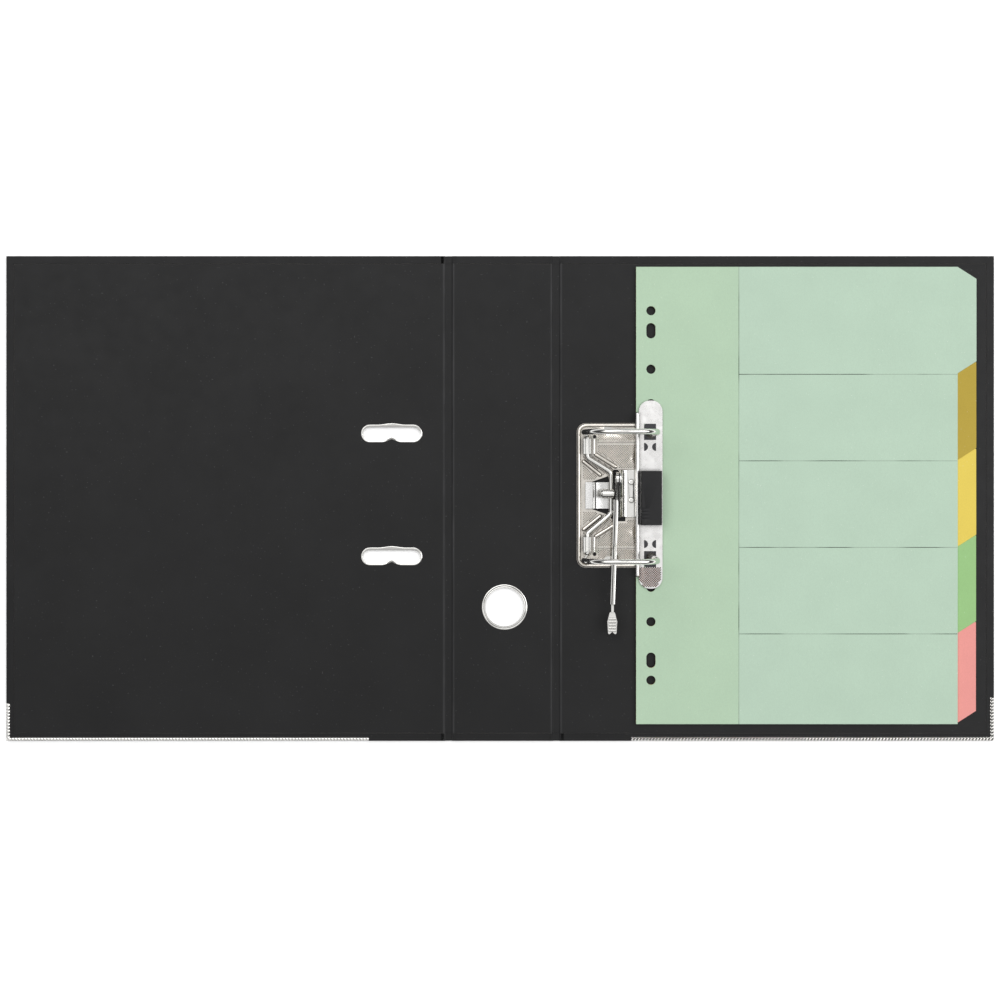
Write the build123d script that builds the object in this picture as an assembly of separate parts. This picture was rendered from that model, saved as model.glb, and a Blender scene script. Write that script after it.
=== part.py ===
from build123d import *
import os
from math import radians, sin, tan

# A lever arch file lying open and flat. Millimetres.
# Origin: centre of the spine's outer face, on the table. +X towards the back cover's
# fore edge, +Y towards the file's top edge, +Z up, out of the covers' inner faces.

# --- cover and spine -------------------------------------------------------------
BACK_WIDTH = 285.0  # hinge line to fore edge
FRONT_WIDTH = 288.0
SPINE_WIDTH = 70.0  # hinge line to hinge line
HEIGHT = 315.6
WRAP = 0.3  # outer covering sheet
BOARD = 2.0  # greyboard
LINER = 0.2  # inner lining sheet
HINGE_GAP = 2.75  # hinge line to each board
HINGE_SLIT = 0.3  # hinge line to where each panel's share of the film starts
TURN_IN = 5.0  # band of covering folded onto the inner face
LABEL_SIZE = (54.0, 190.0)
LABEL_Y = 50.0
LABEL_THICK = 0.15

# --- metal shoes on the bottom edges ----------------------------------------------
SHOE_LENGTH = 236.0
SHOE_RISE = (24.5, 28.3)  # up the fore edge: front cover, back cover
SHOE_THICK = 0.3
SHOE_INNER_LEG = 2.4
SHOE_OUTER_LEG = 4.0

# --- eyelets -----------------------------------------------------------------------
FINGER_X, FINGER_Y = 1.4, -70.7
FINGER_BORE = 12.6
FINGER_FLANGE = 14.9
TUBE_WALL = 0.5
FLANGE_PROUD = 0.6  # eyelet flange on the lined side
SLOT_X = -72.1  # middle of the two slots in the front cover
SLOT_OPENING = (37.4, 9.2)
SLOT_FLANGE = (40.2, 12.0)
SLOT_SHIFT = 0.3  # slots stand a little above the posts
SLOT_CROWN = 0.9  # bulge in the middle of each flange's upper side
NIB_HEIGHT = 2.0
NIB_WIDTH = 9.0
NIB_TIP_RADIUS = 1.2

# --- lever arch mechanism ------------------------------------------------------------
MECH_Y = 2.0  # middle of the mechanism above the file's middle
POST_X = 96.5
POST_Y = 40.0  # half of the 80 mm hole spacing
POST_RADIUS = 2.1
POST_TOP = 54.0
POST_TAIL_RADIUS = 1.6
WIRE_RADIUS = 1.75
BUTT_GAP = 0.3  # post top to the end of the arch
PLATE_X = (48.4, 104.0)
PLATE_HALF = 47.0
PLATE_THICK = 0.8
PLATE_CORNER = 6.0
BEAD_RADIUS = 1.2
BEAD_END_X = 86.0
RIDGES = (((61.0, 26.5), (73.5, 18.8)), ((53.0, 22.0), (63.5, 13.5)))  # one side's pressed ridges
RIDGE_RADIUS = 1.4
PLATE_GROOVE = (34.4, 62.0, 0.9, 0.4)  # half spacing, start along X, width and depth of two pressed lines
RELIEF_HOLE = (60.0, 38.2, 1.2)  # place and radius of the small hole beside each lug
WINDOW_SIDE = ((68.5, 12.5), (72.5, 16.8), (80.0, 16.8))  # one side of the opening under the crank
AXLE_X = 55.0
AXLE_LIFT = 2.6  # axle above the plate's deck
LUG_INNER = 27.0
LUG_OUTER = 36.8
LUG_WALL = 0.9
LUG_GROOVES = ((-1.2, 1.2), 0.6, 0.45)  # offsets, width and depth of the lines pressed into each lug
LUG_APRON = (60.8, 1.5)  # far side and height of the lower step beside each lug
RUNNING = 0.05  # radial clearance of small pins
RIVET_PLACES = ((68.7, 42.6), (68.7, -42.6), (91.0, 26.0), (91.0, -26.0))
RIVET_RADIUS, RIVET_BORE = 1.75, 0.9
RIVET_HEAD = (4.0, 0.5)  # radius and thickness on the outer face
RIVET_FLARE = (2.9, 0.6)  # radius and depth in the deck
CRANK_X = 70.6
CRANK_Y = (-11.8, 15.2)
CRANK_BEND_Y = 24.8
ARCH_SHOULDER_X = 49.6
CRANK_BEND, LEG_BEND = 4.0, 2.6  # bend radii at the crank, at the foot of each arch
ARCH_RADII = (20.0, 12.0)  # at the spine side, at the post side
ARCH_PEAK_CORNER_Z = 71.29
ARCH_END_CORNER_Z = 64.70
BRACKET_X = 74.9
BRACKET_THICK = 1.2
BRACKET_BEND = 5.3
BRACKET_FOOT_X = 86.3
BRACKET_Y = (-14.0, 16.5)
BRACKET_HEAD_RADIUS = 4.6
BRACKET_RIVET_X = 83.8
BRACKET_RIVET_Y = (8.7, -3.0)
BRACKET_RIVET_RADIUS = 1.2
BRACKET_RIVET_HEAD = (1.8, 0.9)  # radius and height
PIVOT_Y, PIVOT_Z = 10.7, 23.95
PIVOT_RADIUS = 1.6
PIVOT_HEAD = (2.2, 0.6)  # radius and thickness
ROLLER_Y, ROLLER_Z = 1.2, 11.25
ROLLER_RADIUS = 3.0
ROLLER_X = (64.4, 72.5)
ROLLER_PIN_RADIUS = 1.2
LEVER_PLATE_X = (72.9, 74.4)
ARM_Y, ARM_X, ARM_WIDTH = (-2.4, -70.0), (73.05, 71.15), 2.9  # root and tip of the lever's arm
ARM_ROOT_Z, ARM_TIP_Z = (12.6, 17.4), (11.2, 13.8)
ARM_SPAN = (60.0, 80.0)  # wide enough to hold the whole arm
TAB_Y, TAB_WIDTH_ACROSS = (-75.2, -89.3), 6.3
TAB_NECK_WIDTH, TAB_END_WIDTH, TAB_TAPER = 3.2, 5.4, 6.0  # widths at both ends, length of the taper
TAB_Z, TAB_THICK = 11.3, 1.3
TAB_RIBS, TAB_RIB_PITCH, TAB_RIB_RADIUS = 5, 1.9, 0.55
SPRING_X = (54.05, 72.6)
SPRING_HALF = 8.6
SPRING_THICK = 0.6
SPRING_CREASE = (59.8, 3.4)  # place and height of the underside in the crease

# --- compressor bar -------------------------------------------------------------------
BAR_X = (88.6, 103.9)
BAR_HALF = 61.0
BAR_SHIFT = 0.6  # the bar lies this far above the middle, within its play on the posts
BAR_THICK = 0.8
BAR_CORNER = 7.0
LIP_RADIUS, LIP_HALF = 1.4, 53.5
LIP_OVERHANG = 1.0  # middle of the lip outside the edge of the bar
BAR_SLOT = (7.8, 10.5)
BAR_SLOT_X, BAR_SLOT_Y = 95.8, 41.3
STRIP_THICK = 0.5
STRIP_WIDTH, STRIP_HALF = 9.0, 46.5
STRIP_HOLE_RADIUS = 2.95
HANDLE_X = (89.4, 102.9)
HANDLE_Y = (-19.0, 15.9)
HANDLE_HEIGHT = 8.6
HINGE_PIN_RADIUS = 0.8
EAR_Y = (9.6, -12.6)
EAR_THICK, EAR_RADIUS = 1.2, 1.6
MOON_RADIUS, MOON_SPREAD, MOON_Y = 2.6, 3.9, 31.5
HANDLE_WALL, HANDLE_TOP_WALL = 1.3, 2.6
GRIP_GROOVES, GROOVE_PITCH, GROOVE_RADIUS = 4, 2.2, 0.9

# --- dividers ----------------------------------------------------------------------------
SHEETS = 5
SHEET_X = 86.9
SHEET_SIZE = (208.8, 297.0)
SHEET_THICK = 0.3
SHEET_PITCH = 0.35
LEAF_X = 108.0  # line about which the leaves turn
LEAF_SLIT = 0.2
TAB_WIDTH = 12.2
TAB_SLANT = 7.8
TAB_TUCK = 7.0  # how far a tab reaches up under the one before it
TAB_EDGES = (148.5, 79.4, 23.1, -33.2, -89.5, -147.9)
HOLE_RADIUS = 3.0
HOLE_OFFSETS = (0.0, 40.0, 59.6, 82.0, 120.0)
OVAL_OFFSET, OVAL_LENGTH = 107.0, 10.0

HINGE_X = SPINE_WIDTH / 2
BACK_EDGE_X = HINGE_X + BACK_WIDTH
FRONT_EDGE_X = HINGE_X + FRONT_WIDTH  # of the front cover before it is mirrored into place
EDGE_Y = HEIGHT / 2
BOARD_TOP = WRAP + BOARD
INNER_FACE = BOARD_TOP + LINER
TURN_IN_TOP = BOARD_TOP + WRAP
DECK = INNER_FACE + PLATE_THICK
AXLE_Z = DECK + AXLE_LIFT
SHEET_BASE = DECK + 0.1
STRIP_Z = SHEET_BASE + (SHEETS - 1) * SHEET_PITCH + SHEET_THICK + 0.1
BAR_Z = STRIP_Z + STRIP_THICK + 0.05
BAR_TOP = BAR_Z + BAR_THICK
HANDLE_PIN_X, HANDLE_PIN_Z = HANDLE_X[0] + 2.2, BAR_TOP + 2.75


# --- plain shapes ---------------------------------------------------------------------------
def slab(x0, x1, y0, y1, z0, z1):
    """Rectangular block between two corners."""
    return Pos((x0 + x1) / 2, (y0 + y1) / 2, (z0 + z1) / 2) * Box(x1 - x0, y1 - y0, z1 - z0)


def upright_rod(x, y, z0, z1, radius):
    return Pos(x, y, (z0 + z1) / 2) * Cylinder(radius, z1 - z0)


def rod_along_x(x0, x1, y, z, radius):
    return Pos((x0 + x1) / 2, y, z) * Rot(0, 90, 0) * Cylinder(radius, x1 - x0)


def rod_along_y(x, y0, y1, z, radius):
    return Pos(x, (y0 + y1) / 2, z) * Rot(90, 0, 0) * Cylinder(radius, y1 - y0)


def polygon(*corners):
    """Flat outline drawn in two coordinates."""
    return make_face(Polyline(*corners, close=True))


def along_y(outline, y0, y1):
    """Outline of X and Z coordinates, carried from y0 to y1."""
    return Pos(0, y0, 0) * extrude(Plane.XZ * outline, y1 - y0, dir=(0, 1, 0))


def along_x(outline, x0, x1):
    """Outline of Y and Z coordinates, carried from x0 to x1."""
    return Pos(x0, 0, 0) * extrude(Plane.YZ * outline, x1 - x0, dir=(1, 0, 0))


def rounded_path(corners, radii):
    """Wire through the corners, each inner corner rounded to its own radius."""
    corners = [Vector(*corner) for corner in corners]
    edges = []
    start = corners[0]
    for before, corner, after, radius in zip(corners, corners[1:], corners[2:], radii):
        to_before = (before - corner).normalized()
        to_after = (after - corner).normalized()
        half_angle = radians(to_before.get_angle(to_after)) / 2
        bisector = (to_before + to_after).normalized()
        reach = radius / tan(half_angle)
        middle = corner + bisector * (radius / sin(half_angle) - radius)
        arc_start = corner + to_before * reach
        arc_end = corner + to_after * reach
        edges.append(Line(start, arc_start))
        edges.append(ThreePointArc(arc_start, middle, arc_end))
        start = arc_end
    edges.append(Line(start, corners[-1]))
    return Wire(edges)


def wire_rod(corners, radii, radius):
    """Round wire bent along a path of rounded corners."""
    path = rounded_path(corners, radii)
    section = Plane(origin=path @ 0, z_dir=path % 0) * Circle(radius)
    return sweep(section, path=path)


def mirrored(solid):
    """The same piece on the other cover."""
    return mirror(solid, about=Plane.YZ)


# --- covers and spine ------------------------------------------------------------------------
def cover_wrap(edge_x):
    """Outer sheet of a cover, folded over three edges, with its share of the hinge film."""
    start = HINGE_X + HINGE_GAP
    tray = slab(start, edge_x, -EDGE_Y, EDGE_Y, 0, TURN_IN_TOP)
    tray -= slab(start, edge_x - WRAP, WRAP - EDGE_Y, EDGE_Y - WRAP, WRAP, BOARD_TOP)
    inset = EDGE_Y - TURN_IN
    tray -= slab(start, edge_x - TURN_IN, -inset, inset, BOARD_TOP, TURN_IN_TOP)
    film = slab(HINGE_X + HINGE_SLIT, start, -EDGE_Y, EDGE_Y, 0, WRAP)
    return tray + film


def cover_board(edge_x):
    edge = EDGE_Y - WRAP
    return slab(HINGE_X + HINGE_GAP + LINER, edge_x - WRAP, -edge, edge, WRAP, BOARD_TOP)


def lining(x_board, x_far):
    """Inner lining from a board's hinge edge to x_far, carried down into the hinge groove."""
    edge = EDGE_Y - TURN_IN - 0.1
    sheet = slab(x_board, x_far, -edge, edge, BOARD_TOP, INNER_FACE)
    wall = slab(x_board, x_board + LINER, -edge, edge, WRAP, INNER_FACE)
    floor_start = x_board - HINGE_GAP + HINGE_SLIT
    floor = slab(floor_start, x_board, -edge, edge, WRAP, WRAP + LINER)
    return sheet + wall + floor


def cover_liner(edge_x):
    return lining(HINGE_X + HINGE_GAP, edge_x - TURN_IN - 0.1)


def spine_wrap():
    half = HINGE_X - HINGE_GAP
    film_end = HINGE_X - HINGE_SLIT
    sheet = slab(-film_end, film_end, -EDGE_Y, EDGE_Y, 0, WRAP)
    for side in (-1, 1):
        for depth, bottom in ((WRAP, 0), (TURN_IN, BOARD_TOP)):
            y0, y1 = sorted((side * EDGE_Y, side * (EDGE_Y - depth)))
            sheet += slab(-half, half, y0, y1, bottom, TURN_IN_TOP)
    return sheet


def spine_board():
    half = HINGE_X - HINGE_GAP - LINER
    edge = EDGE_Y - WRAP
    return slab(-half, half, -edge, edge, WRAP, BOARD_TOP)


def spine_liner():
    """Lining of the spine, carried down into both hinge grooves."""
    left_half = lining(HINGE_GAP - HINGE_X, 0)
    return left_half + mirrored(left_half)


def edge_shoe(edge_x, rise):
    """Crimped metal channel along a cover's bottom edge and up its fore edge."""
    top = TURN_IN_TOP
    y_low = -EDGE_Y
    x_start = edge_x - SHOE_LENGTH
    layers = (
        (SHOE_OUTER_LEG, 0, SHOE_THICK),
        (SHOE_THICK, 0, top + SHOE_THICK),
        (SHOE_INNER_LEG, top, top + SHOE_THICK),
    )
    runs = [slab(x_start, edge_x, y_low, y_low + depth, z0, z1) for depth, z0, z1 in layers]
    rises = [slab(edge_x - depth, edge_x, y_low, y_low + rise, z0, z1) for depth, z0, z1 in layers]
    return runs[0] + runs[1] + runs[2] + rises[0] + rises[1] + rises[2]


def spine_label():
    width, height = LABEL_SIZE
    return slab(-width / 2, width / 2, LABEL_Y - height / 2, LABEL_Y + height / 2, 0, LABEL_THICK)


# --- eyelets -------------------------------------------------------------------------------------
def finger_ring():
    """Eyelet of the finger hole: flange flush in the outer face, tube through the spine."""
    height = INNER_FACE + FLANGE_PROUD
    body = upright_rod(FINGER_X, FINGER_Y, 0, height, FINGER_BORE + TUBE_WALL)
    body += upright_rod(FINGER_X, FINGER_Y, 0, WRAP, FINGER_FLANGE)
    return body - upright_rod(FINGER_X, FINGER_Y, 0, height, FINGER_BORE)


def finger_ring_washer():
    ring = upright_rod(FINGER_X, FINGER_Y, INNER_FACE, INNER_FACE + FLANGE_PROUD, FINGER_FLANGE)
    ring -= upright_rod(FINGER_X, FINGER_Y, INNER_FACE, INNER_FACE + FLANGE_PROUD, FINGER_BORE + TUBE_WALL)
    outer_rim = ring.edges().group_by(Axis.Z)[-1].sort_by(SortBy.RADIUS)[-1]
    return fillet(outer_rim, FLANGE_PROUD * 0.8)


def slot_outline(size, crown):
    """Slot with round ends and a low crown in the middle of its upper side."""
    length, width = size
    outline = SlotOverall(length, width)
    if crown:
        reach = length / 4
        arc = ThreePointArc((-reach, width / 2), (0, width / 2 + crown), (reach, width / 2))
        outline += make_face(Wire([arc, Line((reach, width / 2), (-reach, width / 2))]))
    return outline


def slot_column(size, crown, slot_y, z0, z1):
    return Pos(SLOT_X, slot_y, z0) * extrude(slot_outline(size, crown), z1 - z0)


def slot_tube_size():
    return tuple(side + 2 * TUBE_WALL for side in SLOT_OPENING)


def slot_eyelet(slot_y):
    """Metal eyelet: flange on the lined side with a pointed nib, tube through the cover."""
    top = INNER_FACE + FLANGE_PROUD
    body = slot_column(SLOT_FLANGE, SLOT_CROWN, slot_y, INNER_FACE, top)
    body += slot_column(slot_tube_size(), 0, slot_y, 0, INNER_FACE)
    body -= slot_column(SLOT_OPENING, 0, slot_y, 0, top)
    lower_side = -SLOT_OPENING[1] / 2
    tip_y = lower_side + NIB_HEIGHT
    root_y, shoulder_y = lower_side - 0.2, tip_y - 0.6 * NIB_TIP_RADIUS
    nib = polygon(
        (-NIB_WIDTH / 2, root_y), (-NIB_TIP_RADIUS, shoulder_y),
        (NIB_TIP_RADIUS, shoulder_y), (NIB_WIDTH / 2, root_y),
    )
    nib += Pos(0, tip_y - NIB_TIP_RADIUS) * Circle(NIB_TIP_RADIUS)
    return body + Pos(SLOT_X, slot_y, INNER_FACE) * extrude(nib, FLANGE_PROUD)


def slot_washer(slot_y):
    ring = slot_column(SLOT_FLANGE, 0, slot_y, 0, WRAP)
    return ring - slot_column(slot_tube_size(), 0, slot_y, 0, WRAP)


# --- base plate and what is fixed to it ------------------------------------------------------------
def ridge(start, end, radius):
    """Low round ridge pressed up out of the deck between two points."""
    start, end = Vector(*start, DECK), Vector(*end, DECK)
    run = Line(start, end)
    body = sweep(Plane(origin=start, z_dir=end - start) * Circle(radius), path=run)
    return body + Pos(start) * Sphere(radius) + Pos(end) * Sphere(radius)


def bearing_lug(side):
    """Flat-topped strap pressed up over the arch's axle, with two lines pressed into its top."""
    y0, y1 = sorted((side * LUG_INNER, side * LUG_OUTER))
    half = WIRE_RADIUS + LUG_WALL
    top = AXLE_Z + half
    strap = slab(AXLE_X - half, AXLE_X + half, y0, y1, DECK, top)
    strap = chamfer(strap.edges().filter_by(Axis.Y).group_by(Axis.Z)[-1], 0.5)
    offsets, width, depth = LUG_GROOVES
    for offset in offsets:
        middle = AXLE_X + offset
        strap -= slab(middle - width / 2, middle + width / 2, y0, y1, top - depth, top)
    apron_x, apron_height = LUG_APRON
    lug = strap + slab(AXLE_X, apron_x, y0, y1, DECK, DECK + apron_height)
    lug += rod_along_y(apron_x - 1.2, y0, y1, DECK + apron_height, 0.7)
    return lug - rod_along_y(AXLE_X, y0, y1, AXLE_Z, WIRE_RADIUS + RUNNING)


def plate_window():
    """Opening under the crank, as wide as the spring at the spine side."""
    half = SPRING_HALF + 0.4
    upper = [(58.5, half), *WINDOW_SIDE]
    lower = [(x, -y) for x, y in reversed(upper)]
    return Pos(0, 0, INNER_FACE) * extrude(polygon(*upper, *lower), PLATE_THICK)


def base_plate():
    x0, x1 = PLATE_X
    outline = RectangleRounded(x1 - x0, 2 * PLATE_HALF, PLATE_CORNER)
    plate = Pos((x0 + x1) / 2, 0, INNER_FACE) * extrude(outline, PLATE_THICK)
    rim = PLATE_HALF - BEAD_RADIUS - 0.2
    rim_x = x0 + BEAD_RADIUS + 0.2
    corners = [(BEAD_END_X, rim, DECK), (rim_x, rim, DECK), (rim_x, -rim, DECK), (BEAD_END_X, -rim, DECK)]
    plate += wire_rod(corners, (PLATE_CORNER - 1.4,) * 2, BEAD_RADIUS)
    for side in (-1, 1):
        for (start_x, start_y), (end_x, end_y) in RIDGES:
            plate += ridge((start_x, side * start_y), (end_x, side * end_y), RIDGE_RADIUS)
    plate -= slab(x0, x1, -PLATE_HALF, PLATE_HALF, 0, INNER_FACE)
    plate -= plate_window()
    groove_y, groove_x, groove_width, groove_depth = PLATE_GROOVE
    hole_x, hole_y, hole_radius = RELIEF_HOLE
    for side in (-1, 1):
        plate += bearing_lug(side)
        plate -= upright_rod(hole_x, side * hole_y, INNER_FACE, DECK, hole_radius)
        low_y = side * groove_y - groove_width / 2
        plate -= slab(groove_x, BEAD_END_X, low_y, low_y + groove_width, DECK - groove_depth, DECK)
    return plate


def paper_post(side):
    """Upright post, its foot swaged into the plate."""
    post = upright_rod(POST_X, side * POST_Y, DECK, POST_TOP, POST_RADIUS)
    post = chamfer(post.edges().group_by(Axis.Z)[-1], 0.5)
    return post + upright_rod(POST_X, side * POST_Y, INNER_FACE, DECK, POST_TAIL_RADIUS)


def plate_rivets(bore_radius):
    """Four rivets that hold the plate to the cover, flush on both faces; a zero bore fills them."""
    rivets = []
    for x, y in RIVET_PLACES:
        rivet = upright_rod(x, y, 0, DECK, RIVET_RADIUS)
        rivet += upright_rod(x, y, 0, RIVET_HEAD[1], RIVET_HEAD[0])
        rivet += Pos(x, y, DECK - RIVET_FLARE[1] / 2) * Cone(RIVET_RADIUS, *RIVET_FLARE)
        if bore_radius:
            rivet -= upright_rod(x, y, RIVET_HEAD[1], DECK, bore_radius)
        rivets.append(rivet)
    return Compound(rivets)


def lever_bracket():
    """Upright bracket, bent out of a foot with a wide bend."""
    bend_x = BRACKET_X + BRACKET_THICK + BRACKET_BEND
    bend_z = DECK + BRACKET_THICK + BRACKET_BEND
    y0, y1 = BRACKET_Y
    top = PIVOT_Z + BRACKET_HEAD_RADIUS
    bend = rod_along_y(bend_x, y0, y1, bend_z, BRACKET_BEND + BRACKET_THICK)
    bend -= rod_along_y(bend_x, y0, y1, bend_z, BRACKET_BEND)
    bend &= slab(BRACKET_X, bend_x, y0, y1, DECK, bend_z)
    upright = slab(BRACKET_X, BRACKET_X + BRACKET_THICK, y0, y1, bend_z, top)
    foot = slab(bend_x, BRACKET_FOOT_X, y0, y1, DECK, DECK + BRACKET_THICK)
    head = Pos(PIVOT_Y, PIVOT_Z) * Circle(BRACKET_HEAD_RADIUS)
    shoulders = polygon((y0, DECK), (y1, DECK), (y1, bend_z), (y0, bend_z))
    side_view = make_hull(head.edges() + shoulders.edges())
    bracket = (bend + upright + foot) & along_x(side_view, BRACKET_X, BRACKET_FOOT_X)
    return bracket - rod_along_x(BRACKET_X, bend_x, PIVOT_Y, PIVOT_Z, PIVOT_RADIUS)


def bracket_rivets():
    """Two domed rivets that hold the bracket's foot to the plate."""
    rivets = []
    foot_top = DECK + BRACKET_THICK
    head_radius, head_height = BRACKET_RIVET_HEAD
    for y in BRACKET_RIVET_Y:
        rivet = upright_rod(BRACKET_RIVET_X, y, INNER_FACE, foot_top, BRACKET_RIVET_RADIUS)
        head = upright_rod(BRACKET_RIVET_X, y, foot_top, foot_top + head_height, head_radius)
        rivets.append(rivet + fillet(head.edges().group_by(Axis.Z)[-1], 0.8 * head_height))
    return Compound(rivets)


def lever_pivot_pin():
    """Headed pin through the bracket, on which the lever turns."""
    left = LEVER_PLATE_X[0] - RUNNING
    right = BRACKET_X + BRACKET_THICK
    pin = rod_along_x(left, right, PIVOT_Y, PIVOT_Z, PIVOT_RADIUS)
    left_head = rod_along_x(left - PIVOT_HEAD[1], left, PIVOT_Y, PIVOT_Z, PIVOT_HEAD[0])
    right_head = rod_along_x(right, right + PIVOT_HEAD[1], PIVOT_Y, PIVOT_Z, PIVOT_HEAD[0])
    left_head = fillet(left_head.edges().group_by(Axis.X)[0], 0.7 * PIVOT_HEAD[1])
    right_head = fillet(right_head.edges().group_by(Axis.X)[-1], 0.7 * PIVOT_HEAD[1])
    return pin + left_head + right_head


# --- moving parts of the mechanism ------------------------------------------------------------------
def arch_half(side, crank_end):
    """Wire from the middle of the crank out through one lug and over to its post."""
    arch_y = side * POST_Y
    corners = [
        (CRANK_X, 0, AXLE_Z),
        (CRANK_X, crank_end, AXLE_Z),
        (AXLE_X, side * CRANK_BEND_Y, AXLE_Z),
        (AXLE_X, arch_y, AXLE_Z),
        (ARCH_SHOULDER_X, arch_y, ARCH_PEAK_CORNER_Z),
        (POST_X, arch_y, ARCH_END_CORNER_Z),
        (POST_X, arch_y, POST_TOP + BUTT_GAP),
    ]
    return wire_rod(corners, (CRANK_BEND, CRANK_BEND, LEG_BEND, *ARCH_RADII), WIRE_RADIUS)


def arch_wire():
    """Both arches, the axle ends and the crank between them, bent from one wire."""
    return arch_half(1, CRANK_Y[1]) + arch_half(-1, CRANK_Y[0])


def lift_spring():
    """Leaf spring that pushes the crank up: a humped root, a crease, then a run under the crank."""
    base = DECK + 0.05
    run = [
        (SPRING_X[0], base), (56.5, base + 0.8), (58.7, base + 0.9), SPRING_CREASE,
        (61.0, base + 0.9), (66.0, base + 0.05), (SPRING_X[1], DECK - 0.15),
    ]
    upper = [(x, z + SPRING_THICK) for x, z in reversed(run)]
    return along_y(polygon(*run, *upper), -SPRING_HALF, SPRING_HALF)


def lever_cheek():
    """Flat plate that carries the pivot, the roller and the root of the arm."""
    pivot_eye = Pos(PIVOT_Y, PIVOT_Z) * Circle(4.3)
    roller_eye = Pos(ROLLER_Y, ROLLER_Z) * Circle(2.6)
    low, high = ARM_ROOT_Z
    back, front = ARM_Y[0] - 0.5, ARM_Y[0] + 1.5
    root = polygon((back, low), (back, high), (front, high), (front, low))
    outline = make_hull(pivot_eye.edges() + roller_eye.edges() + root.edges())
    return along_x(outline, *LEVER_PLATE_X)


def lever_arm():
    """Tapering arm, a channel that is open below."""
    (root_y, tip_y), bend_y = ARM_Y, -10
    (root_x, tip_x) = ARM_X
    (root_low, root_high), (tip_low, tip_high) = ARM_ROOT_Z, ARM_TIP_Z
    side_view = polygon(
        (root_y, root_low), (root_y, root_high), (bend_y, root_high - 0.8),
        (tip_y, tip_high), (tip_y, tip_low), (bend_y, root_low),
    )

    def plan_view(half_width):
        right = [(root_x + half_width, root_y), (root_x + half_width, bend_y), (tip_x + half_width, tip_y)]
        left = [(x - 2 * half_width, y) for x, y in reversed(right)]
        return extrude(polygon(*right, *left), PIVOT_Z)

    arm = along_x(side_view, *ARM_SPAN) & plan_view(ARM_WIDTH / 2)
    channel = Pos(0, 0, -0.9) * along_x(side_view, *ARM_SPAN) & plan_view(ARM_WIDTH / 2 - 0.7)
    return arm - (channel & slab(*ARM_SPAN, tip_y + 3, root_y - 5, 0, PIVOT_Z))


def lever_tab():
    """Ribbed finger tab with a notch in its end, on a narrow neck."""
    tip_x = ARM_X[1]
    tab_x = tip_x - 0.15
    arm_end, (start, end) = ARM_Y[1], TAB_Y
    neck = slab(tip_x - 0.8, tip_x + 0.8, start - 0.2, arm_end + 1, ARM_TIP_Z[0] + 0.2, ARM_TIP_Z[0] + 1.7)
    neck_half, wide_half, end_half = TAB_NECK_WIDTH / 2, TAB_WIDTH_ACROSS / 2, TAB_END_WIDTH / 2
    plan = polygon(
        (neck_half, start), (wide_half, start - TAB_TAPER), (end_half, end),
        (-end_half, end), (-wide_half, start - TAB_TAPER), (-neck_half, start),
    )
    tab = Pos(tab_x, 0, TAB_Z) * extrude(plan, TAB_THICK)
    tab = fillet(tab.edges().filter_by(Axis.Z), 0.8)
    rib_reach = wide_half - 0.7
    for rib in range(TAB_RIBS):
        y = end + 9.8 - rib * TAB_RIB_PITCH
        tab += rod_along_x(tab_x - rib_reach, tab_x + rib_reach, y, TAB_Z + TAB_THICK - 0.1, TAB_RIB_RADIUS)
    notch = Rot(0, 0, 45) * Rectangle(2.2, 2.2)
    tab -= Pos(tab_x, end, TAB_Z - 0.3) * extrude(notch, 2 * TAB_THICK)
    return neck + tab


def lever():
    """Cheek, arm and finger tab in one pressing."""
    body = lever_cheek() + lever_arm() + lever_tab()
    body -= rod_along_x(*LEVER_PLATE_X, PIVOT_Y, PIVOT_Z, PIVOT_RADIUS + RUNNING)
    return body - rod_along_x(*LEVER_PLATE_X, ROLLER_Y, ROLLER_Z, ROLLER_PIN_RADIUS)


def roller_pin():
    left = ROLLER_X[0] - 0.1
    pin = rod_along_x(left, LEVER_PLATE_X[1], ROLLER_Y, ROLLER_Z, ROLLER_PIN_RADIUS)
    head = rod_along_x(left - 0.8, left, ROLLER_Y, ROLLER_Z, 2.2)
    return pin + fillet(head.edges().group_by(Axis.X)[0], 0.5)


def roller():
    body = rod_along_x(*ROLLER_X, ROLLER_Y, ROLLER_Z, ROLLER_RADIUS)
    body = fillet(body.edges().filter_by(GeomType.CIRCLE), 0.5)
    return body - rod_along_x(*ROLLER_X, ROLLER_Y, ROLLER_Z, ROLLER_PIN_RADIUS + RUNNING)


# --- compressor bar and its catch --------------------------------------------------------------------
def handle_ear(y):
    """Upright ear on the bar that holds the handle's pin."""
    y0, y1 = y - EAR_THICK / 2, y + EAR_THICK / 2
    ear = slab(HANDLE_PIN_X - EAR_RADIUS, HANDLE_PIN_X + EAR_RADIUS, y0, y1, BAR_TOP, HANDLE_PIN_Z)
    return ear + rod_along_y(HANDLE_PIN_X, y0, y1, HANDLE_PIN_Z, EAR_RADIUS)


def half_moons(side):
    """Pair of half-round holes whose straight sides face each other's backs."""
    pair = []
    for turn in (1, -1):
        moon = Circle(MOON_RADIUS) & Pos(turn * MOON_RADIUS / 2, 0) * Rectangle(MOON_RADIUS, 2 * MOON_RADIUS)
        place = Pos(BAR_SLOT_X - turn * MOON_SPREAD, side * MOON_Y, BAR_Z)
        pair.append(place * extrude(moon, BAR_THICK))
    return pair


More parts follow.
